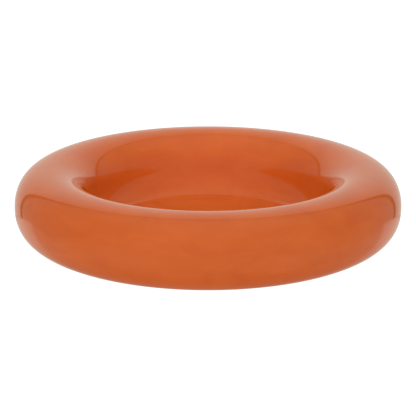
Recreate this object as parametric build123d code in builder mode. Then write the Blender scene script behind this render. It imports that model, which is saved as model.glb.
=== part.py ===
from build123d import *
from math import atan2, cos, degrees, radians, sin
import os

# Thick-rimmed glazed ceramic bowl. Two cast halves are joined with slip at the rim's widest level, so
# the rim is hollow and the floor is a double layer. Millimetres, +Z up, and the origin is on the table
# under the middle of the bowl. Profiles of the round pieces are drawn on Plane.XZ and turned about Z.

# Rim section
outer_diameter = 300.0
crest_radius = 121.0  # circle along the top of the rim, and along the middle of the foot
rim_inner_width = 29.6  # crest to the inner side of the section's oval
rim_rise = 28.8  # widest level up to the crest
rim_drop = 27.6  # widest level down to the table
shoulder_fullness = 0.626  # handle length as a share of the width and rise; 0.552 would be an ellipse

# Well
wall_lean = 12.75  # degrees that the well's wall leans out from upright
wall_straight = 4.7  # straight part of the wall between the oval and the cove
floor_radius = 71.0
cove_wall_handle = 0.61  # handles of the cove's curve, as shares of its height
cove_floor_handle = 0.58
floor_height = 9.5  # glazed floor of the well above the table

# Shells
wall = 3.6

# Underside and foot
pad_thickness = 1.0
foot_half_width = 9.1
belly_handle = 16.8  # handle of the lower side's curve at the widest level
foot_handle = 9.7  # handle of the same curve at the foot's edge
foot_slope = 14.0  # degrees between the table and the rim's side at the foot's edge
recess_slope_width = 5.0  # width of the slope from the foot up to the recessed underside
recess_round = 6.0

# Vent that lets the kiln's heat out of the hollow rim, and the bung that closes it
vent_radius = 2.5
vent_circle = 92.0
plug_head_radius = 4.2
plug_head_thickness = 0.8
plug_head_round = 0.3
barb_radius = 3.1
barb_tip_radius = 1.6
barb_length = 2.4

# Anti-slip pads
pad_count = 4
pad_radius = 5.5
pad_round = 0.35
first_pad_angle = 45.0

outer_radius = outer_diameter / 2
widest_level = rim_drop
underside_level = floor_height - 2 * wall
layer_level = floor_height - wall  # where the two halves lie on each other under the floor



def draw_top_surface(inset):
    """Draws the top from the seam over the crest and down to the well's middle, inset into the wall.

    The wall goes straight on where the inner oval leans by wall_lean, then a cove turns it level with the floor.
    """
    oval_width = rim_inner_width - inset
    shoulder_width = outer_radius - crest_radius - inset
    rise = rim_rise - inset
    floor_level = floor_height - inset
    lean = radians(wall_lean)
    wall_start = atan2(rise * sin(lean), oval_width * cos(lean))
    wall_foot_radius = crest_radius - oval_width * cos(wall_start) - wall_straight * sin(lean)
    wall_foot_level = widest_level + rise * sin(wall_start) - wall_straight * cos(lean)
    cove_height = wall_foot_level - floor_level
    wall_handle = cove_wall_handle * cove_height
    Bezier(
        (crest_radius + shoulder_width, widest_level),
        (crest_radius + shoulder_width, widest_level + shoulder_fullness * rise),
        (crest_radius + shoulder_fullness * shoulder_width, widest_level + rise),
        (crest_radius, widest_level + rise),
    )
    oval = EllipticalCenterArc(
        (crest_radius, widest_level),
        oval_width,
        rise,
        start_angle=90,
        arc_size=90 - degrees(wall_start),
    )
    Line(oval @ 1, (wall_foot_radius, wall_foot_level))
    Bezier(
        (wall_foot_radius, wall_foot_level),
        (wall_foot_radius - wall_handle * sin(lean), wall_foot_level - wall_handle * cos(lean)),
        (floor_radius + cove_floor_handle * cove_height, floor_level),
        (floor_radius, floor_level),
    )
    Line((floor_radius, floor_level), (0, floor_level))


def draw_underside(inset):
    """Draws the bottom from the seam down to the foot and across to the middle, inset into the wall."""
    foot_edge = crest_radius + foot_half_width
    foot_inner = crest_radius - foot_half_width
    foot_level = pad_thickness + inset
    belly = belly_handle * (widest_level - foot_level) / (widest_level - pad_thickness)
    slope = radians(foot_slope)
    Bezier(
        (outer_radius - inset, widest_level),
        (outer_radius - inset, widest_level - belly),
        (foot_edge + foot_handle * cos(slope), foot_level + foot_handle * sin(slope)),
        (foot_edge, foot_level),
    )
    FilletPolyline(
        (foot_edge, foot_level),
        (foot_inner, foot_level),
        (foot_inner - recess_slope_width, underside_level + inset),
        (0, underside_level + inset),
        radius=recess_round,
    )


def draw_section(draw_surface, far_level):
    """Closes one half's section: a surface, the same surface inset by the wall, the seam and the axis."""
    draw_surface(0)
    draw_surface(wall)
    Line((outer_radius, widest_level), (outer_radius - wall, widest_level))
    Line((0, far_level), (0, layer_level))


def plane_at(radius, angle, level):
    """A level plane on the circle of that radius, at that angle in degrees from +X."""
    return Plane(origin=(radius * cos(radians(angle)), radius * sin(radians(angle)), level))


os.makedirs("parts", exist_ok=True)

# Upper half: the visible rim, the well's wall and the glazed layer of the floor
with BuildPart() as upper_shell:
    with BuildSketch(Plane.XZ):
        with BuildLine():
            draw_section(draw_top_surface, floor_height)
        make_face()
    revolve(axis=Axis.Z)
upper_shell.part.label = "upper_shell"
export_step(upper_shell.part, "parts/upper_shell.step")

# Lower half: the rim's underside, the bare foot, the lower layer of the floor and the vent
with BuildPart() as lower_shell:
    with BuildSketch(Plane.XZ):
        with BuildLine():
            draw_section(draw_underside, underside_level)
        make_face()
    revolve(axis=Axis.Z)
    with BuildSketch(plane_at(vent_circle, 90, underside_level)):
        Circle(vent_radius)
    extrude(amount=wall, mode=Mode.SUBTRACT)
lower_shell.part.label = "lower_shell"
export_step(lower_shell.part, "parts/lower_shell.step")

# Vent plug: a flat head under the floor, a stem through the vent and a barb inside the hollow
with BuildPart() as vent_plug:
    with BuildSketch(plane_at(vent_circle, 90, underside_level)):
        Circle(plug_head_radius)
    extrude(amount=-plug_head_thickness)
    head_edge = vent_plug.edges().sort_by(Axis.Z)[0]
    fillet(head_edge, radius=plug_head_round)
    with BuildSketch(plane_at(vent_circle, 90, underside_level)):
        Circle(vent_radius)
    extrude(amount=wall)
    with BuildSketch(plane_at(vent_circle, 90, layer_level)):
        Circle(barb_radius)
    with BuildSketch(plane_at(vent_circle, 90, layer_level + barb_length)):
        Circle(barb_tip_radius)
    loft()
vent_plug.part.label = "vent_plug"
export_step(vent_plug.part, "parts/vent_plug.step")

# Pads, evenly spaced along the middle of the foot
for pad_number in range(1, pad_count + 1):
    pad_angle = first_pad_angle + (pad_number - 1) * 360 / pad_count
    with BuildPart() as foot_pad:
        with BuildSketch(plane_at(crest_radius, pad_angle, 0)):
            Circle(pad_radius)
        extrude(amount=pad_thickness)
        fillet(foot_pad.edges().sort_by(Axis.Z)[0], radius=pad_round)
    foot_pad.part.label = f"foot_pad_{pad_number}"
    export_step(foot_pad.part, f"parts/foot_pad_{pad_number}.step")
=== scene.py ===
"""Looks for a low glazed bowl with a fat hollow rim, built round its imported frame.

The bowl is cast in two halves, joined with slip at the rim's widest level, and coated in one glossy orange
glaze. A silicone bung closes the kiln vent in its underside, and it stands on small silicone pads.

Lengths are in metres and +Z is up. The frame gives the outer size, the levels and the places. The classes
below hold the other sizes, which are the same as the CAD's. Round pieces are thrown ring by ring out of one
circle, in the way of a potter's wheel, and their sections are drawn by the functions of BowlSection.
"""

import logging
import math
from dataclasses import dataclass
from enum import Enum
from typing import Callable, Optional, Sequence

import bmesh
import bpy
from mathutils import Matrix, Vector


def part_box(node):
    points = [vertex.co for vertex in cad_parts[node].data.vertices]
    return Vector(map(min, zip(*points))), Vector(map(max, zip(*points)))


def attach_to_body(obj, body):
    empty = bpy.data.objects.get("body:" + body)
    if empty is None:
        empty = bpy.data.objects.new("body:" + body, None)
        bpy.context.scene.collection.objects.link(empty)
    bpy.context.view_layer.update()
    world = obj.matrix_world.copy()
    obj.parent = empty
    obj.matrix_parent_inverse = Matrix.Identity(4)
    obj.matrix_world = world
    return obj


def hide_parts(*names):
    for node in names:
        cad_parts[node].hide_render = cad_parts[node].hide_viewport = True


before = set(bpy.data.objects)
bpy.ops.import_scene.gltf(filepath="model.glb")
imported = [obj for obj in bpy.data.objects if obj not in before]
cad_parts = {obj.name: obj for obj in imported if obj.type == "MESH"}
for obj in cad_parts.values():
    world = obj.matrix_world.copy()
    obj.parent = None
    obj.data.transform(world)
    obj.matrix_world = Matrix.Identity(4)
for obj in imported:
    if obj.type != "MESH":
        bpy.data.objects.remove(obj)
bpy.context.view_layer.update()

BODY = "root"
MILLIMETRE = 0.001
SIDES = 320
WELD_DISTANCE = 1e-7

Ring = tuple[float, float]
Point = tuple[float, float]
Colour = tuple[float, float, float]
Span = tuple[float, float]

log = logging.getLogger("thick_rim_bowl")


class Slot(Enum):
    """The record's material slots."""

    GLAZE = "glaze"
    PAD = "pad_silicone"
    PLUG = "plug_silicone"


class Half(Enum):
    """The two cast halves of the bowl."""

    UPPER = "upper_shell"
    LOWER = "lower_shell"


# ---------------------------------------------------------------------------------------------------------
# Curves of the section
# ---------------------------------------------------------------------------------------------------------


def cubic(start: Point, first: Point, second: Point, end: Point, steps: int) -> list[Ring]:
    """Points along a cubic curve, without its start.

    Args:
        start: Where the curve begins.
        first: The handle of the start.
        second: The handle of the end.
        end: Where the curve ends.
        steps: How many pieces the curve is cut into.

    Returns:
        One point for each step, the last of them the end.
    """
    points: list[Ring] = []
    for step in range(1, steps + 1):
        t = step / steps
        weights = ((1 - t) ** 3, 3 * t * (1 - t) ** 2, 3 * t * t * (1 - t), t**3)
        corners = (start, first, second, end)
        radius = sum(w * corner[0] for w, corner in zip(weights, corners))
        height = sum(w * corner[1] for w, corner in zip(weights, corners))
        points.append((radius, height))
    return points


def oval_arc(centre: Point, width: float, height: float, first: float, last: float, steps: int) -> list[Ring]:
    """Points along an arc of an upright oval, without its start.

    Args:
        centre: The oval's centre.
        width: Its half width.
        height: Its half height.
        first: The angle where the arc begins, in radians from the outward level.
        last: The angle where it ends.
        steps: How many pieces the arc is cut into.

    Returns:
        One point for each step.
    """
    points: list[Ring] = []
    for step in range(1, steps + 1):
        angle = first + (last - first) * step / steps
        points.append((centre[0] + width * math.cos(angle), centre[1] + height * math.sin(angle)))
    return points


@dataclass(frozen=True)
class BowlSection:
    """The bowl's section, from which both halves are thrown.

    The first five sizes come from the frame.
    """

    outer_radius: float
    crest_level: float
    widest_level: float
    foot_level: float
    layer_level: float
    crest_radius: float = 121.0 * MILLIMETRE
    oval_width: float = 29.6 * MILLIMETRE
    shoulder_fullness: float = 0.626
    wall_lean: float = math.radians(12.75)
    wall_straight: float = 4.7 * MILLIMETRE
    floor_radius: float = 71.0 * MILLIMETRE
    cove_wall_handle: float = 0.61
    cove_floor_handle: float = 0.58
    floor_level: float = 9.5 * MILLIMETRE
    wall: float = 3.6 * MILLIMETRE
    foot_half_width: float = 9.1 * MILLIMETRE
    belly_handle: float = 16.8 * MILLIMETRE
    foot_handle: float = 9.7 * MILLIMETRE
    foot_slope: float = math.radians(14.0)
    recess_slope_width: float = 6.0 * MILLIMETRE
    pole_radius: float = 4.0 * MILLIMETRE
    seam_hold: float = 0.15 * MILLIMETRE

    @classmethod
    def from_frame(cls) -> "BowlSection":
        """Reads the outer size and the levels from the two halves' boxes."""
        upper_low, upper_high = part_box(Half.UPPER.value)
        lower_low, lower_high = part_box(Half.LOWER.value)
        return cls(
            outer_radius=round(upper_high.x, 3),
            crest_level=upper_high.z,
            widest_level=lower_high.z,
            foot_level=lower_low.z,
            layer_level=upper_low.z,
        )

    def shoulder(self, inset: float, steps: int) -> list[Ring]:
        """The outer side from just above the seam up to the crest.

        Args:
            inset: How far inside the outer surface the curve runs.
            steps: How many rings the curve gets.

        Returns:
            The rings, from the seam up.
        """
        side = self.outer_radius - inset
        rise = self.crest_level - self.widest_level - inset
        width = side - self.crest_radius
        top = self.widest_level + rise
        hold = (side, self.widest_level + self.seam_hold)
        return [hold] + cubic(
            (side, self.widest_level),
            (side, self.widest_level + self.shoulder_fullness * rise),
            (self.crest_radius + self.shoulder_fullness * width, top),
            (self.crest_radius, top),
            steps,
        )

    def well(self, inset: float, oval_steps: int, cove_steps: int) -> list[Ring]:
        """The inner side, from the crest down the wall, round the cove and in across the floor.

        Args:
            inset: How far inside the glazed surface the curve runs.
            oval_steps: How many rings the oval part gets.
            cove_steps: How many rings the cove gets.

        Returns:
            The rings, from the crest to the last one before the middle.
        """
        width = self.oval_width - inset
        rise = self.crest_level - self.widest_level - inset
        floor = self.floor_level - inset
        start = math.atan2(rise * math.sin(self.wall_lean), width * math.cos(self.wall_lean))
        wall_top = (self.crest_radius - width * math.cos(start), self.widest_level + rise * math.sin(start))
        down = (-math.sin(self.wall_lean), -math.cos(self.wall_lean))
        foot = tuple(place + self.wall_straight * way for place, way in zip(wall_top, down))
        height = foot[1] - floor
        handle = tuple(place + self.cove_wall_handle * height * way for place, way in zip(foot, down))
        floor_handle = (self.floor_radius + self.cove_floor_handle * height, floor)
        oval_centre = (self.crest_radius, self.widest_level)
        rings = oval_arc(oval_centre, width, rise, math.pi / 2, math.pi - start, oval_steps)
        rings += [tuple((one + other) / 2 for one, other in zip(wall_top, foot)), foot]
        rings += cubic(foot, handle, floor_handle, (self.floor_radius, floor), cove_steps)
        return rings + self.level_rings(self.floor_radius, floor)

    def belly(self, inset: float, steps: int) -> list[Ring]:
        """The outer side from just below the seam down to the foot's outer edge.

        Args:
            inset: How far inside the outer surface the curve runs.
            steps: How many rings the curve gets.

        Returns:
            The rings, from the seam down.
        """
        side = self.outer_radius - inset
        foot = self.foot_level + inset
        drop_share = (self.widest_level - foot) / (self.widest_level - self.foot_level)
        edge = self.crest_radius + self.foot_half_width
        hold = (side, self.widest_level - self.seam_hold)
        handle_out = self.foot_handle * math.cos(self.foot_slope)
        handle_up = self.foot_handle * math.sin(self.foot_slope)
        return [hold] + cubic(
            (side, self.widest_level),
            (side, self.widest_level - self.belly_handle * drop_share),
            (edge + handle_out, foot + handle_up),
            (edge, foot),
            steps,
        )

    def underside(self, inset: float, steps: int) -> list[Ring]:
        """The bottom from the foot's inner edge up the slope and in across the recess.

        Args:
            inset: How far inside the outer surface the curve runs.
            steps: How many rings the slope gets.

        Returns:
            The rings, from the foot inwards.
        """
        edge = self.crest_radius - self.foot_half_width
        foot = self.foot_level + inset
        recess = self.layer_level - self.wall + inset
        inner = edge - self.recess_slope_width
        middle = (edge + inner) / 2
        slope = cubic((edge, foot), (middle, foot), (middle, recess), (inner, recess), steps)
        return [(edge, foot)] + slope + self.level_rings(inner, recess)

    def level_rings(self, radius: float, level: float) -> list[Ring]:
        """Rings across a flat: one close to its edge that keeps it flat, then a few towards the middle."""
        close = radius - 0.5 * MILLIMETRE
        return [(close, level)] + [(close * share, level) for share in (0.97, 0.88, 0.7, 0.48, 0.26)] + [
            (self.pole_radius, level)
        ]


# ---------------------------------------------------------------------------------------------------------
# Making meshes by hand
# ---------------------------------------------------------------------------------------------------------


class Wheel:
    """Throws a closed round piece out of one circle, ring by ring, as on a potter's wheel."""

    def __init__(self, name: str, start: Ring, segments: int) -> None:
        """Puts the first circle down.

        Args:
            name: The piece's name.
            start: Radius and height of the first circle.
            segments: How many sides every ring has.
        """
        self.start = start
        self.ring = start
        bpy.ops.object.select_all(action="DESELECT")
        bpy.ops.mesh.primitive_circle_add(
            vertices=segments, radius=start[0], fill_type="NOTHING", enter_editmode=True, location=(0, 0, 0)
        )
        self.piece = bpy.context.object
        self.piece.name = name
        self.piece.data.name = name
        bpy.ops.transform.translate(value=(0, 0, start[1]))

    def climb(self, rings: Sequence[Ring]) -> "Wheel":
        """Pulls the wall on from the selected ring through the rings.

        Args:
            rings: Radius and height of each new ring.

        Returns:
            The wheel itself, so that steps can be chained.
        """
        for radius, height in rings:
            bpy.ops.mesh.extrude_region_move(
                TRANSFORM_OT_translate={"value": (0, 0, height - self.ring[1])}
            )
            share = radius / self.ring[0]
            bpy.ops.transform.resize(value=(share, share, 1), center_override=(0, 0, height))
            self.ring = (radius, height)
        return self

    def close_middle(self) -> "Wheel":
        """Draws the last ring in to one point on the axis."""
        bpy.ops.mesh.extrude_region_move()
        bpy.ops.mesh.merge(type="CENTER")
        return self

    def return_to_start(self) -> "Wheel":
        """Selects the first ring again, by its place, and nothing else."""
        bpy.ops.mesh.select_all(action="DESELECT")
        shape = bmesh.from_edit_mesh(self.piece.data)
        near = 1e-5
        for vertex in shape.verts:
            radius = math.hypot(vertex.co.x, vertex.co.y)
            vertex.select = abs(radius - self.start[0]) < near and abs(vertex.co.z - self.start[1]) < near
        shape.select_flush(True)
        bmesh.update_edit_mesh(self.piece.data)
        self.ring = self.start
        return self

    def take_off(self, smooth_angle: float = math.radians(35)) -> bpy.types.Object:
        """Welds the piece, turns its faces outwards and leaves edit mode.

        Args:
            smooth_angle: Edges sharper than this stay crisp.

        Returns:
            The finished object.
        """
        bpy.ops.mesh.select_all(action="SELECT")
        bpy.ops.mesh.remove_doubles(threshold=WELD_DISTANCE)
        bpy.ops.mesh.normals_make_consistent(inside=False)
        bpy.ops.object.mode_set(mode="OBJECT")
        bpy.ops.object.shade_smooth_by_angle(angle=smooth_angle)
        return self.piece


def move_in_mesh(piece: bpy.types.Object, offset: Vector) -> None:
    """Moves a piece inside its mesh, so that its object stays at the origin.

    Args:
        piece: The piece, in object mode.
        offset: How far it moves.
    """
    bpy.ops.object.select_all(action="DESELECT")
    piece.select_set(True)
    bpy.context.view_layer.objects.active = piece
    bpy.ops.object.mode_set(mode="EDIT")
    bpy.ops.mesh.select_all(action="SELECT")
    bpy.ops.transform.translate(value=offset)
    bpy.ops.object.mode_set(mode="OBJECT")


def copy_of(piece: bpy.types.Object, name: str) -> bpy.types.Object:
    """Copies a piece with a mesh of its own.

    Args:
        piece: The piece to copy.
        name: The copy's name.

    Returns:
        The copy, linked to the scene.
    """
    bpy.ops.object.select_all(action="DESELECT")
    piece.select_set(True)
    bpy.context.view_layer.objects.active = piece
    bpy.ops.object.duplicate(linked=False)
    copy = bpy.context.object
    copy.name = name
    copy.data.name = name
    return copy


def paint_faces(
    piece: bpy.types.Object, material: bpy.types.Material, chosen: Callable[[Vector], bool]
) -> None:
    """Gives some faces a second material.

    Args:
        piece: The piece whose faces are painted.
        material: The material they get.
        chosen: Says of a face's middle whether the face is painted.
    """
    piece.data.materials.append(material)
    index = len(piece.data.materials) - 1
    for face in piece.data.polygons:
        if chosen(face.center):
            face.material_index = index


def attach(piece: bpy.types.Object, slot: Slot, *nodes: str) -> None:
    """Makes a piece ride on the bowl in place of its CAD nodes, and reports it.

    Args:
        piece: The finished piece.
        slot: The record's slot; not used.
        nodes: The CAD nodes that it stands for.
    """
    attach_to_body(piece, BODY)
    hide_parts(*nodes)
    faces = len(piece.data.polygons)
    log.info("%s: %d faces, stands for %s", piece.name, faces, ", ".join(nodes))


# ---------------------------------------------------------------------------------------------------------
# Finishes
# ---------------------------------------------------------------------------------------------------------


class NodeSheet:
    """A short way to write one node tree."""

    def __init__(self, tree: bpy.types.NodeTree) -> None:
        """Keeps the tree that the nodes go into."""
        self.tree = tree

    def add(self, kind: str, settings: Optional[dict] = None, **inputs: object) -> bpy.types.Node:
        """Adds a node, with its settings and its inputs.

        Args:
            kind: The node's type.
            settings: Its properties, such as an operation.
            inputs: A value or another node's socket for each input, by the input's name with _ for spaces.

        Returns:
            The new node.
        """
        node = self.tree.nodes.new(kind)
        for key, value in (settings or {}).items():
            setattr(node, key, value)
        for key, value in inputs.items():
            self.put(node, int(key[1:]) if key[1:].isdigit() else key.replace("_", " "), value)
        return node

    def put(self, node: bpy.types.Node, key: object, value: object) -> None:
        """Sets an input to a value, or links it to a socket.

        Args:
            node: The node that has the input.
            key: The input's name or number.
            value: A number, a colour or another node's socket.
        """
        if isinstance(value, bpy.types.NodeSocket):
            self.tree.links.new(value, node.inputs[key])
        else:
            node.inputs[key].default_value = value

    def maths(self, operation: str, *values: object) -> bpy.types.NodeSocket:
        """Adds a maths node and returns its result's socket."""
        node = self.add("ShaderNodeMath", {"operation": operation})
        for number, value in enumerate(values):
            self.put(node, number, value)
        return node.outputs[0]

    def step(self, value: object, start: float, end: float, low: float, high: float) -> bpy.types.NodeSocket:
        """Turns a value smoothly from low at start to high at end and returns the result's socket."""
        node = self.add("ShaderNodeMapRange", {"interpolation_type": "SMOOTHSTEP"}, Value=value)
        for key, number in (("From Min", start), ("From Max", end), ("To Min", low), ("To Max", high)):
            self.put(node, key, number)
        return node.outputs["Result"]

    def blend(self, factor: object, first: object, second: object) -> bpy.types.NodeSocket:
        """Blends two numbers and returns the result's socket."""
        node = self.tree.nodes.new("ShaderNodeMix")
        self.put(node, 0, factor)
        self.put(node, 2, first)
        self.put(node, 3, second)
        return node.outputs[0]

    def mix(self, factor: object, first: object, second: object) -> bpy.types.NodeSocket:
        """Mixes two colours and returns the result's socket."""
        node = self.tree.nodes.new("ShaderNodeMix")
        node.data_type = "RGBA"
        self.put(node, "Factor", factor)
        self.put(node, 6, first)
        self.put(node, 7, second)
        return node.outputs[2]


def opaque(colour: Colour) -> tuple[float, float, float, float]:
    """Adds a full alpha to a colour."""
    return (*colour, 1.0)


def new_group(
    name: str, inputs: dict[str, float], outputs: Sequence[str]
) -> tuple[bpy.types.NodeTree, NodeSheet]:
    """Makes an empty shader node group with a Vector input, number inputs and value outputs.

    Args:
        name: The group's name.
        inputs: Each number input's name and usual value.
        outputs: The value outputs' names.

    Returns:
        The group and a sheet to write its nodes with.
    """
    group = bpy.data.node_groups.new(name, "ShaderNodeTree")
    group.interface.new_socket("Vector", in_out="INPUT", socket_type="NodeSocketVector")
    for label, usual in inputs.items():
        socket = group.interface.new_socket(label, in_out="INPUT", socket_type="NodeSocketFloat")
        socket.default_value = usual
    for label in outputs:
        group.interface.new_socket(label, in_out="OUTPUT", socket_type="NodeSocketFloat")
    return group, NodeSheet(group)


def unevenness_group() -> bpy.types.NodeTree:
    """Builds the soft waves and fine grain that every fired or moulded surface has.

    Returns:
        A group with the outputs Height, for a bump, and Tone, a slow mask for colour.
    """
    inputs = {"Wave Size": 0.06, "Grain Size": 0.002, "Grain Share": 0.02}
    group, sheet = new_group("surface_unevenness", inputs, ("Height", "Tone"))
    given = sheet.add("NodeGroupInput").outputs
    waves = sheet.add(
        "ShaderNodeTexNoise",
        Vector=given["Vector"],
        Scale=sheet.maths("DIVIDE", 1.0, given["Wave Size"]),
        Detail=1.0,
        Roughness=0.35,
    )
    grain = sheet.add(
        "ShaderNodeTexNoise",
        Vector=given["Vector"],
        Scale=sheet.maths("DIVIDE", 1.0, given["Grain Size"]),
        Detail=2.0,
        Roughness=0.5,
    )
    tone_scale = sheet.maths("DIVIDE", 2.3, given["Wave Size"])
    tone = sheet.add(
        "ShaderNodeTexNoise",
        Vector=given["Vector"],
        Scale=tone_scale,
        Detail=4.0,
        Roughness=0.55,
        Distortion=0.6,
    )
    fine = sheet.maths("MULTIPLY", grain.outputs["Fac"], given["Grain Share"])
    height = sheet.maths("ADD", waves.outputs["Fac"], fine)
    spread = sheet.add("ShaderNodeMapRange", Value=tone.outputs["Fac"], From_Min=0.3, From_Max=0.7)
    result = sheet.add("NodeGroupOutput")
    sheet.put(result, "Height", height)
    sheet.put(result, "Tone", spread.outputs["Result"])
    return group


def speck_group() -> bpy.types.NodeTree:
    """Builds small round specks, scattered one to a cell, for pinholes, grog or dust.

    Returns:
        A group with the output Mask, which is 1 on a speck.
    """
    group, sheet = new_group("specks", {"Spacing": 0.01, "Radius": 0.0003, "Share": 0.3}, ("Mask",))
    given = sheet.add("NodeGroupInput").outputs
    cells = sheet.add(
        "ShaderNodeTexVoronoi",
        Vector=given["Vector"],
        Scale=sheet.maths("DIVIDE", 1.0, given["Spacing"]),
        Randomness=1.0,
    )
    reach = sheet.maths("DIVIDE", given["Radius"], given["Spacing"])
    edge = sheet.add("ShaderNodeMapRange", Value=cells.outputs["Distance"], To_Min=1.0, To_Max=0.0)
    sheet.put(edge, "From Min", sheet.maths("MULTIPLY", reach, 0.6))
    sheet.put(edge, "From Max", reach)
    chance = sheet.add("ShaderNodeSeparateColor", Color=cells.outputs["Color"])
    present = sheet.maths("LESS_THAN", chance.outputs["Red"], given["Share"])
    result = sheet.add("NodeGroupOutput")
    sheet.put(result, "Mask", sheet.maths("MULTIPLY", edge.outputs["Result"], present))
    return group


@dataclass
class Effects:
    """The node groups that the finishes share."""

    unevenness: bpy.types.NodeTree
    specks: bpy.types.NodeTree

    @classmethod
    def build(cls) -> "Effects":
        """Builds every shared group once."""
        return cls(unevenness=unevenness_group(), specks=speck_group())

    @staticmethod
    def place(sheet: NodeSheet, group: bpy.types.NodeTree, vector: object, **values: float) -> bpy.types.Node:
        """Puts a shared group into a material.

        Args:
            sheet: The material's sheet.
            group: The shared group.
            vector: The socket that gives the coordinates.
            values: The group's number inputs, with _ for spaces.

        Returns:
            The group's node.
        """
        node = sheet.add("ShaderNodeGroup", {"node_tree": group}, **values)
        sheet.put(node, "Vector", vector)
        return node


def new_material(name: str) -> tuple[bpy.types.Material, NodeSheet, bpy.types.Node, bpy.types.NodeSocket]:
    """Makes a material that still has only its Principled shader.

    Args:
        name: The material's name.

    Returns:
        The material, its sheet, its shader and the socket of the object's own coordinates.
    """
    material = bpy.data.materials.new(name)
    material.use_nodes = True
    sheet = NodeSheet(material.node_tree)
    shader = material.node_tree.nodes["Principled BSDF"]
    place = sheet.add("ShaderNodeTexCoord").outputs["Object"]
    return material, sheet, shader, place


@dataclass(frozen=True)
class OrangeGlaze:
    """Glossy opaque orange glaze: a coloured body under a clear, slightly wavy surface."""

    body: Colour = (0.684, 0.1166, 0.0132)
    thin: Colour = (0.728, 0.1363, 0.0173)
    pooled: Colour = (0.64, 0.1008, 0.0105)
    pinhole: Colour = (0.33, 0.045, 0.010)
    gloss: float = 0.035
    smear: float = 0.05
    wave_size: float = 0.055
    wave_height: float = 0.00018
    grain_size: float = 0.0045
    grain_share: float = 0.012
    band_size: float = 0.075
    tone_share: float = 0.65
    pinhole_spacing: float = 0.021
    pinhole_radius: float = 0.35 * MILLIMETRE
    pinhole_share: float = 0.22
    pinhole_depth: float = 0.35
    refraction: float = 1.5
    flow: Vector = Vector((1.0, 1.0, 2.6))

    def build(self, effects: Effects) -> bpy.types.Material:
        """Makes the glaze.

        Args:
            effects: The shared node groups.

        Returns:
            The material.
        """
        material, sheet, shader, place = new_material("orange_glaze")
        surface = effects.place(
            sheet,
            effects.unevenness,
            place,
            Wave_Size=self.wave_size,
            Grain_Size=self.grain_size,
            Grain_Share=self.grain_share,
        )
        banded = sheet.add("ShaderNodeMapping", Vector=place, Scale=self.flow)
        along = banded.outputs["Vector"]
        bands = effects.place(sheet, effects.unevenness, along, Wave_Size=self.band_size, Grain_Share=0.0)
        holes = effects.place(
            sheet,
            effects.specks,
            place,
            Spacing=self.pinhole_spacing,
            Radius=self.pinhole_radius,
            Share=self.pinhole_share,
        )
        tone = sheet.mix(bands.outputs["Tone"], opaque(self.pooled), opaque(self.thin))
        colour = sheet.mix(self.tone_share, opaque(self.body), tone)
        colour = sheet.mix(holes.outputs["Mask"], colour, opaque(self.pinhole))
        sheet.put(shader, "Base Color", colour)
        rough = sheet.add(
            "ShaderNodeMapRange", Value=surface.outputs["Tone"], To_Min=self.gloss, To_Max=self.smear
        )
        sheet.put(shader, "Roughness", rough.outputs["Result"])
        shader.inputs["IOR"].default_value = self.refraction
        dimple = sheet.maths("MULTIPLY", holes.outputs["Mask"], -self.pinhole_depth)
        height = sheet.maths("ADD", surface.outputs["Height"], dimple)
        bump = sheet.add("ShaderNodeBump", Strength=1.0, Distance=self.wave_height, Height=height)
        sheet.put(shader, "Normal", bump.outputs["Normal"])
        return material


@dataclass(frozen=True)
class BareClay:
    """Fired clay without glaze, on the foot where the bowl stood in the kiln."""

    body: Colour = (0.62, 0.47, 0.36)
    dark: Colour = (0.50, 0.36, 0.26)
    grog: Colour = (0.30, 0.19, 0.12)
    roughness: float = 0.88

    def build(self, effects: Effects) -> bpy.types.Material:
        """Makes the bare clay.

        Args:
            effects: The shared node groups.

        Returns:
            The material.
        """
        material, sheet, shader, place = new_material("bare_clay")
        surface = effects.place(
            sheet, effects.unevenness, place, Wave_Size=0.018, Grain_Size=0.0007, Grain_Share=0.6
        )
        grog = effects.place(sheet, effects.specks, place, Spacing=0.0032, Radius=0.0003, Share=0.35)
        colour = sheet.mix(surface.outputs["Tone"], opaque(self.body), opaque(self.dark))
        colour = sheet.mix(grog.outputs["Mask"], colour, opaque(self.grog))
        sheet.put(shader, "Base Color", colour)
        shader.inputs["Roughness"].default_value = self.roughness
        bump = sheet.add(
            "ShaderNodeBump", Strength=0.8, Distance=0.00025, Height=surface.outputs["Height"]
        )
        sheet.put(shader, "Normal", bump.outputs["Normal"])
        return material


@dataclass(frozen=True)
class Silicone:
    """Soft translucent silicone, slightly dusty, for the pads and the bung."""

    name: str
    body: Colour
    dust: Colour
    roughness: float = 0.42

    def build(self, effects: Effects) -> bpy.types.Material:
        """Makes the silicone.

        Args:
            effects: The shared node groups.

        Returns:
            The material.
        """
        material, sheet, shader, place = new_material(self.name)
        surface = effects.place(
            sheet, effects.unevenness, place, Wave_Size=0.004, Grain_Size=0.0004, Grain_Share=0.3
        )
        dust = effects.place(sheet, effects.specks, place, Spacing=0.0011, Radius=0.00009, Share=0.3)
        colour = sheet.mix(surface.outputs["Tone"], opaque(self.body), opaque(self.dust))
        colour = sheet.mix(dust.outputs["Mask"], colour, opaque(self.dust))
        sheet.put(shader, "Base Color", colour)
        rough = sheet.add(
            "ShaderNodeMapRange", Value=surface.outputs["Tone"], To_Min=self.roughness, To_Max=0.6
        )
        sheet.put(shader, "Roughness", rough.outputs["Result"])
        shader.inputs["IOR"].default_value = 1.41
        shader.inputs["Subsurface Weight"].default_value = 0.25
        shader.inputs["Subsurface Scale"].default_value = 0.002
        bump = sheet.add(
            "ShaderNodeBump", Strength=0.6, Distance=0.00005, Height=surface.outputs["Height"]
        )
        sheet.put(shader, "Normal", bump.outputs["Normal"])
        return material


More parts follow.
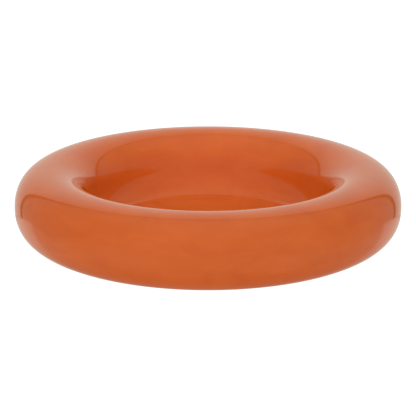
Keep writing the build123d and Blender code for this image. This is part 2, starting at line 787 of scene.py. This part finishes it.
@dataclass
class Finishes:
    """Every finish of the bowl, built once."""

    glaze: bpy.types.Material
    clay: bpy.types.Material
    pad: bpy.types.Material
    plug: bpy.types.Material

    @classmethod
    def build(cls) -> "Finishes":
        """Builds the shared effects and then the four materials."""
        effects = Effects.build()
        return cls(
            glaze=OrangeGlaze().build(effects),
            clay=BareClay().build(effects),
            pad=Silicone("pad_silicone", body=(0.70, 0.69, 0.65), dust=(0.60, 0.58, 0.53)).build(effects),
            plug=Silicone("plug_silicone", body=(0.62, 0.60, 0.55), dust=(0.52, 0.50, 0.45)).build(effects),
        )


# ---------------------------------------------------------------------------------------------------------
# Sub-assemblies
# ---------------------------------------------------------------------------------------------------------


@dataclass
class UpperHalf:
    """The upper cast half: the visible rim, the well's wall and the floor's glazed layer."""

    section: BowlSection
    segments: int = SIDES

    def build(self, finishes: Finishes) -> bpy.types.Object:
        """Throws the half, glazes it and puts it in place of its node.

        Args:
            finishes: The bowl's materials.

        Returns:
            The finished piece.
        """
        section, wall = self.section, self.section.wall
        wheel = Wheel("glazed_upper_half", (section.outer_radius, section.widest_level), self.segments)
        wheel.climb(section.shoulder(0, 36))
        wheel.climb(section.well(0, 40, 40))
        wheel.close_middle()
        wheel.return_to_start()
        wheel.climb([(section.outer_radius - wall, section.widest_level)])
        wheel.climb(section.shoulder(wall, 14))
        wheel.climb(section.well(wall, 16, 16))
        wheel.close_middle()
        piece = wheel.take_off()
        piece.data.materials.append(finishes.glaze)
        attach(piece, Slot.GLAZE, Half.UPPER.value)
        return piece


@dataclass
class LowerHalf:
    """The lower cast half: the rim's underside, the bare foot, the recess and the vent."""

    section: BowlSection
    segments: int = SIDES
    glaze_roll: float = 0.25 * MILLIMETRE
    vent_radius: float = 2.5 * MILLIMETRE

    def foot_rings(self) -> list[Ring]:
        """The foot, where the glaze ends in a small roll each side of the bare clay.

        Returns:
            The rings from the outer roll across the flat to the inner roll.
        """
        section, roll = self.section, self.glaze_roll
        level = section.foot_level
        outer = section.crest_radius + section.foot_half_width
        inner = section.crest_radius - section.foot_half_width
        return [
            (outer - roll, level - roll * 0.35),
            (outer - 2 * roll, level - roll * 0.25),
            (outer - 2.5 * roll, level),
            (outer - 5 * roll, level),
            (inner + 5 * roll, level),
            (inner + 2.5 * roll, level),
            (inner + 2 * roll, level - roll * 0.25),
            (inner + roll, level - roll * 0.35),
        ]

    def cut_vent(self, piece: bpy.types.Object, vent: Vector) -> None:
        """Cuts the vent through the lower layer.

        Args:
            piece: The lower half.
            vent: The middle of the vent.
        """
        bpy.ops.object.select_all(action="DESELECT")
        bpy.ops.mesh.primitive_cylinder_add(
            vertices=48, radius=self.vent_radius, depth=4 * self.section.wall, location=vent
        )
        drill = bpy.context.object
        bpy.ops.object.select_all(action="DESELECT")
        piece.select_set(True)
        bpy.context.view_layer.objects.active = piece
        hole = piece.modifiers.new("vent", "BOOLEAN")
        hole.operation = "DIFFERENCE"
        hole.solver = "EXACT"
        hole.object = drill
        bpy.ops.object.modifier_apply(modifier=hole.name)
        bpy.data.objects.remove(drill)

    def build(self, finishes: Finishes) -> bpy.types.Object:
        """Throws the half, cuts the vent, glazes all but the foot and puts it in place of its node.

        Args:
            finishes: The bowl's materials.

        Returns:
            The finished piece.
        """
        section, wall = self.section, self.section.wall
        wheel = Wheel("glazed_lower_half", (section.outer_radius, section.widest_level), self.segments)
        wheel.climb(section.belly(0, 36))
        wheel.climb(self.foot_rings())
        wheel.climb(section.underside(0, 14))
        wheel.close_middle()
        wheel.return_to_start()
        wheel.climb([(section.outer_radius - wall, section.widest_level)])
        wheel.climb(section.belly(wall, 14))
        wheel.climb(section.underside(wall, 8))
        wheel.close_middle()
        piece = wheel.take_off()
        low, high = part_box("vent_plug")
        self.cut_vent(piece, (low + high) / 2)
        piece.data.materials.append(finishes.glaze)
        roll = 2.6 * self.glaze_roll
        bare_from = section.crest_radius - section.foot_half_width + roll
        bare_to = section.crest_radius + section.foot_half_width - roll
        near = 0.02 * MILLIMETRE

        def is_bare(middle: Vector) -> bool:
            """True on the flat of the foot."""
            radius = math.hypot(middle.x, middle.y)
            return bare_from < radius < bare_to and abs(middle.z - section.foot_level) < near

        paint_faces(piece, finishes.clay, is_bare)
        attach(piece, Slot.GLAZE, Half.LOWER.value)
        return piece


@dataclass
class VentBung:
    """The silicone bung: a dimpled head under the floor, a stem in the vent and a barb in the hollow."""

    section: BowlSection
    segments: int = 64
    node: str = "vent_plug"
    head_radius: float = 4.2 * MILLIMETRE
    head_round: float = 0.3 * MILLIMETRE
    head_thickness: float = 0.8 * MILLIMETRE
    dimple_radius: float = 2.0 * MILLIMETRE
    dimple_depth: float = 0.3 * MILLIMETRE
    stem_radius: float = 2.46 * MILLIMETRE
    barb_radius: float = 3.1 * MILLIMETRE
    barb_tip_radius: float = 1.6 * MILLIMETRE

    def build(self, finishes: Finishes) -> bpy.types.Object:
        """Turns the bung and puts it in place of its node.

        Args:
            finishes: The bowl's materials.

        Returns:
            The finished piece.
        """
        low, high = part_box(self.node)
        face, tip = low.z, high.z
        seat = face + self.head_thickness
        layer = self.section.layer_level
        rounding, head = self.head_round, self.head_radius
        dimple, depth = self.dimple_radius, self.dimple_depth
        soft = 0.1 * MILLIMETRE
        edge = oval_arc((head - rounding, face + rounding), rounding, rounding, 0.0, -math.pi / 2, 6)
        wheel = Wheel("vent_bung", (head, face + rounding), self.segments)
        wheel.climb(edge)
        wheel.climb([(dimple * 1.25, face), (dimple * 1.08, face + 0.04 * MILLIMETRE)])
        wheel.climb([(dimple * 0.8, face + depth * 0.75), (dimple * 0.4, face + depth)])
        wheel.close_middle()
        wheel.return_to_start()
        wheel.climb([(head, seat - soft), (head - soft, seat)])
        clear = layer + 0.02 * MILLIMETRE
        wheel.climb([(self.stem_radius, seat), (self.stem_radius, clear)])
        wheel.climb([(self.barb_radius - 1.5 * soft, clear), (self.barb_radius, layer + 2 * soft)])
        wheel.climb([(self.barb_tip_radius, tip - rounding), (self.barb_tip_radius - rounding, tip)])
        wheel.close_middle()
        piece = wheel.take_off()
        middle = (low + high) / 2
        move_in_mesh(piece, Vector((middle.x, middle.y, 0)))
        piece.data.materials.append(finishes.plug)
        attach(piece, Slot.PLUG, self.node)
        return piece


@dataclass
class GripPads:
    """The silicone pads on the foot, each with a soft edge and a shallow dish that grips the table."""

    count: int = 4
    segments: int = 72
    edge_round: float = 0.35 * MILLIMETRE
    top_round: float = 0.12 * MILLIMETRE
    dish_depth: float = 0.12 * MILLIMETRE
    rim_width: float = 1.3 * MILLIMETRE

    def turn_one(self, name: str, low: Vector, high: Vector) -> bpy.types.Object:
        """Turns one pad.

        Args:
            name: The pad's name.
            low: The lowest corner of its node.
            high: The highest corner of its node.

        Returns:
            The pad, in place.
        """
        radius = round((high.x - low.x) / 2, 4)
        rounding = self.edge_round
        top, table = high.z, low.z
        edge = oval_arc((radius - rounding, table + rounding), rounding, rounding, 0.0, -math.pi / 2, 8)
        dish, depth, soft = radius - rounding - self.rim_width, self.dish_depth, self.top_round
        wheel = Wheel(name, (radius, table + rounding), self.segments)
        wheel.climb(edge)
        wheel.climb([(dish, table), (dish * 0.93, table + depth * 0.4)])
        wheel.climb([(dish * 0.82, table + depth), (dish * 0.3, table + depth)])
        wheel.close_middle()
        wheel.return_to_start()
        wheel.climb([(radius, top - soft), (radius - soft, top), (radius * 0.4, top)])
        wheel.close_middle()
        pad = wheel.take_off()
        middle = (low + high) / 2
        move_in_mesh(pad, Vector((middle.x, middle.y, 0)))
        return pad

    def build(self, finishes: Finishes) -> list[bpy.types.Object]:
        """Turns the first pad and copies it to the other places.

        Args:
            finishes: The bowl's materials.

        Returns:
            All the pads.
        """
        first_low, first_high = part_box("foot_pad_1")
        pads = [self.turn_one("grip_pad_1", first_low, first_high)]
        pads[0].data.materials.append(finishes.pad)
        for number in range(2, self.count + 1):
            pad = copy_of(pads[0], f"grip_pad_{number}")
            low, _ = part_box(f"foot_pad_{number}")
            move_in_mesh(pad, low - first_low)
            pads.append(pad)
        for number, pad in enumerate(pads, start=1):
            attach(pad, Slot.PAD, f"foot_pad_{number}")
        return pads


# ---------------------------------------------------------------------------------------------------------
# Studio
# ---------------------------------------------------------------------------------------------------------


@dataclass(frozen=True)
class StudioRoom:
    """How bright the white room is, seen in a glossy surface, in each direction.

    A span says where along a direction's X, Y or Z, or its drop over its depth, one level turns into another.
    """

    walls: float = 0.434
    front: float = 0.553
    ceiling: float = 0.697
    table_far: float = 0.745
    table_near: float = 0.289
    table_front: float = 0.434
    table_side: float = 0.15
    soft_light: float = 0.604
    backdrop: float = 1.0
    tint: Colour = (1.0, 0.985, 0.86)
    overhead_span: Span = (0.75, 1.0)
    behind_span: Span = (0.48, 0.58)
    table_span: Span = (0.29, 0.37)
    steep_span: Span = (-0.35, -0.8)
    front_span: Span = (-0.15, -0.65)
    aside_span: Span = (0.35, 0.75)
    low_span: Span = (-0.1, -0.35)

    def build(self) -> bpy.types.World:
        """Makes the world: even light on everything, the room's levels in reflections, a white backdrop.

        Returns:
            The world.
        """
        world = bpy.data.worlds.new("studio_room")
        world.use_nodes = True
        sheet = NodeSheet(world.node_tree)
        background = world.node_tree.nodes["Background"]
        direction = sheet.add("ShaderNodeTexCoord").outputs["Generated"]
        axes = sheet.add("ShaderNodeSeparateXYZ", Vector=direction).outputs
        away = sheet.maths("MAXIMUM", axes["Y"], 0.001)
        drop = sheet.maths("DIVIDE", sheet.maths("MULTIPLY", axes["Z"], -1.0), away)
        overhead = sheet.step(axes["Z"], *self.overhead_span, 0.0, 1.0)
        behind = sheet.step(axes["Y"], *self.behind_span, 0.0, 1.0)
        on_table = sheet.maths("MULTIPLY", behind, sheet.step(drop, *self.table_span, 0.0, 1.0))
        steep = sheet.step(axes["Z"], *self.steep_span, 0.0, 1.0)
        before = sheet.step(axes["Y"], *self.front_span, 0.0, 1.0)
        near = sheet.blend(before, self.table_near, self.table_front)
        level = sheet.blend(before, self.walls, self.front)
        level = sheet.blend(overhead, level, self.ceiling)
        level = sheet.blend(on_table, level, self.table_far)
        level = sheet.blend(steep, level, near)
        aside = sheet.step(sheet.maths("ABSOLUTE", axes["X"]), *self.aside_span, 0.0, self.table_side)
        aside = sheet.maths("MULTIPLY", aside, sheet.step(axes["Z"], *self.low_span, 0.0, 1.0))
        level = sheet.maths("ADD", level, aside)
        rays = sheet.add("ShaderNodeLightPath").outputs
        glossy = rays["Is Glossy Ray"]
        lit = sheet.blend(glossy, self.soft_light, level)
        lit = sheet.blend(rays["Is Camera Ray"], lit, self.backdrop)
        sheet.put(background, "Strength", lit)
        sheet.put(background, "Color", sheet.mix(glossy, opaque((1.0, 1.0, 1.0)), opaque(self.tint)))
        return world


@dataclass(frozen=True)
class BackPanel:
    """A bright arched panel behind the bowl, with a dark frame, which shows as the gloss on its rim."""

    distance: float = 1.0
    half_width: float = 1.0
    arch_height: float = 1.65
    spring_level: float = 0.05
    foot_level: float = -0.31
    roundness: float = 2.7
    glow: float = 0.867
    tint: Colour = (1.0, 0.985, 0.86)
    glow_level: float = 0.45
    side_fall: float = 0.27
    top_fall: float = 0.24
    frame_light: float = 0.15
    frame_top: float = 0.030
    frame_side: float = 0.050
    fall_height: float = 1.2
    inner_edge: Span = (-1.2, -0.6)
    outer_edge: Span = (0.5, 1.4)
    side_margin: float = 1.2
    top_margin: float = 1.15

    def finish(self) -> bpy.types.Material:
        """Makes the panel's light, its frame and the clear area outside it.

        Returns:
            The material.
        """
        material = bpy.data.materials.new("back_panel")
        material.use_nodes = True
        tree = material.node_tree
        tree.nodes.clear()
        sheet = NodeSheet(tree)
        place = sheet.add("ShaderNodeTexCoord").outputs["Object"]
        axes = sheet.add("ShaderNodeSeparateXYZ", Vector=place).outputs
        across = sheet.maths("DIVIDE", sheet.maths("ABSOLUTE", axes["X"]), self.half_width)
        rise = sheet.maths("MAXIMUM", sheet.maths("SUBTRACT", axes["Z"], self.spring_level), 0.0)
        rise = sheet.maths("DIVIDE", rise, self.arch_height)
        power = self.roundness
        reach = sheet.maths("ADD", sheet.maths("POWER", across, power), sheet.maths("POWER", rise, power))
        reach = sheet.maths("POWER", reach, 1 / power)
        side = sheet.maths("MULTIPLY", across, across)
        frame_width = sheet.maths("MULTIPLY_ADD", side, self.frame_side, self.frame_top)
        offset = sheet.maths("DIVIDE", sheet.maths("SUBTRACT", reach, 1.0), frame_width)
        high = sheet.maths("SUBTRACT", axes["Z"], self.glow_level)
        glow = sheet.maths("MULTIPLY_ADD", side, -self.side_fall, 1.0)
        loss = -self.top_fall / self.fall_height**2
        fall = sheet.maths("MULTIPLY_ADD", sheet.maths("MULTIPLY", high, high), loss, 1.0)
        glow = sheet.maths("MULTIPLY", sheet.maths("MULTIPLY", glow, fall), self.glow)
        strength = sheet.blend(sheet.step(offset, *self.inner_edge, 0.0, 1.0), glow, self.frame_light)
        light = sheet.add("ShaderNodeEmission", Color=opaque(self.tint), Strength=strength)
        clear = sheet.add("ShaderNodeBsdfTransparent")
        outside = sheet.step(offset, *self.outer_edge, 0.0, 1.0)
        mixed = sheet.add("ShaderNodeMixShader", Fac=outside)
        sheet.put(mixed, 1, light.outputs["Emission"])
        sheet.put(mixed, 2, clear.outputs["BSDF"])
        sheet.add("ShaderNodeOutputMaterial", Surface=mixed.outputs["Shader"])
        return material

    def build(self) -> bpy.types.Object:
        """Stands the panel up; only glossy surfaces see it.

        Returns:
            The panel.
        """
        top = self.spring_level + self.arch_height * self.top_margin
        width = self.half_width * self.side_margin
        bpy.ops.object.select_all(action="DESELECT")
        bpy.ops.mesh.primitive_plane_add(size=2, enter_editmode=True, location=(0, 0, 0))
        panel = bpy.context.object
        panel.name = "back_panel"
        shape = bmesh.from_edit_mesh(panel.data)
        for corner in shape.verts:
            level = top if corner.co.y > 0 else self.foot_level
            corner.co = Vector((corner.co.x * width, self.distance, level))
        bmesh.update_edit_mesh(panel.data)
        bpy.ops.object.mode_set(mode="OBJECT")
        panel.data.materials.append(self.finish())
        panel.visible_camera = False
        panel.visible_diffuse = False
        panel.visible_shadow = False
        return panel


@dataclass
class Studio:
    """A white floor, two lamps, the bright panel, the soft room round them and the camera."""

    section: BowlSection
    floor_size: float = 12.0
    floor_grey: float = 0.25
    floor_glow: float = 0.669
    floor_white: float = 1.0
    lamp_size: float = 1.4
    lamp_place: Vector = Vector((-0.2, -1.0, 1.3))
    lamp_energy: float = 6.5
    beam_place: Vector = Vector((-0.10, -1.1, 0.8))
    beam_target: Vector = Vector((0.0, 0.095, 0.035))
    beam_angle: float = math.radians(11)
    beam_energy: float = 20.0
    beam_softness: float = 0.1
    camera_distance: float = 1.446
    camera_elevation: float = math.radians(16.74)
    lens: float = 160.65
    sensor: float = 36.0
    view_shift: float = -0.0137

    def lay_floor(self) -> None:
        """Lays the floor: white to the camera, weaker as a light, and left out of reflections."""
        bpy.ops.object.select_all(action="DESELECT")
        bpy.ops.mesh.primitive_plane_add(size=self.floor_size, location=(0, 0, 0))
        floor = bpy.context.object
        floor.name = "studio_floor"
        material, sheet, shader, _ = new_material("studio_floor")
        shader.inputs["Base Color"].default_value = opaque((self.floor_grey,) * 3)
        shader.inputs["Roughness"].default_value = 1.0
        shader.inputs["Specular IOR Level"].default_value = 0.0
        shader.inputs["Emission Color"].default_value = (1, 1, 1, 1)
        camera_ray = sheet.add("ShaderNodeLightPath").outputs["Is Camera Ray"]
        sheet.put(shader, "Emission Strength", sheet.blend(camera_ray, self.floor_glow, self.floor_white))
        floor.data.materials.append(material)
        floor.visible_glossy = False

    def hang_lamps(self) -> None:
        """Hangs a large soft lamp before the bowl and a beam into its well; neither makes a highlight."""
        bpy.ops.object.light_add(type="AREA", location=self.lamp_place)
        lamp = bpy.context.object
        lamp.name = "soft_lamp"
        lamp.data.size = self.lamp_size
        lamp.data.energy = self.lamp_energy
        lamp.rotation_euler = (-self.lamp_place).to_track_quat("-Z", "Y").to_euler()
        bpy.ops.object.light_add(type="SPOT", location=self.beam_place)
        beam = bpy.context.object
        beam.name = "soft_beam"
        beam.data.spot_size = self.beam_angle
        beam.data.spot_blend = 1.0
        beam.data.shadow_soft_size = self.beam_softness
        beam.data.energy = self.beam_energy
        aim = self.beam_target - self.beam_place
        beam.rotation_euler = aim.to_track_quat("-Z", "Y").to_euler()
        for light in (lamp, beam):
            light.visible_glossy = False
            light.visible_camera = False

    def set_camera(self) -> None:
        """Sets the camera before the bowl, a little above it."""
        elevation = self.camera_elevation
        centre = Vector((0, 0, self.section.widest_level))
        back = Vector((0, -math.cos(elevation), math.sin(elevation)))
        bpy.ops.object.camera_add(location=centre + back * self.camera_distance)
        camera = bpy.context.object
        camera.name = "studio_camera"
        camera.rotation_euler = (math.pi / 2 - elevation, 0, 0)
        camera.data.sensor_width = self.sensor
        camera.data.lens = self.lens
        camera.data.shift_y = self.view_shift
        bpy.context.scene.camera = camera

    def build(self) -> None:
        """Builds the whole studio."""
        self.lay_floor()
        self.hang_lamps()
        BackPanel().build()
        bpy.context.scene.world = StudioRoom().build()
        self.set_camera()
        bpy.context.scene.view_settings.view_transform = "Standard"
        log.info("studio: floor, lamps, panel, room and camera are set")


def main() -> None:
    """Builds the bowl's pieces in order, then the studio."""
    logging.basicConfig(level=logging.INFO, format="%(name)s: %(message)s")
    section = BowlSection.from_frame()
    finishes = Finishes.build()
    UpperHalf(section).build(finishes)
    LowerHalf(section).build(finishes)
    VentBung(section).build(finishes)
    GripPads().build(finishes)
    Studio(section).build()


if __name__ == "__main__":
    main()
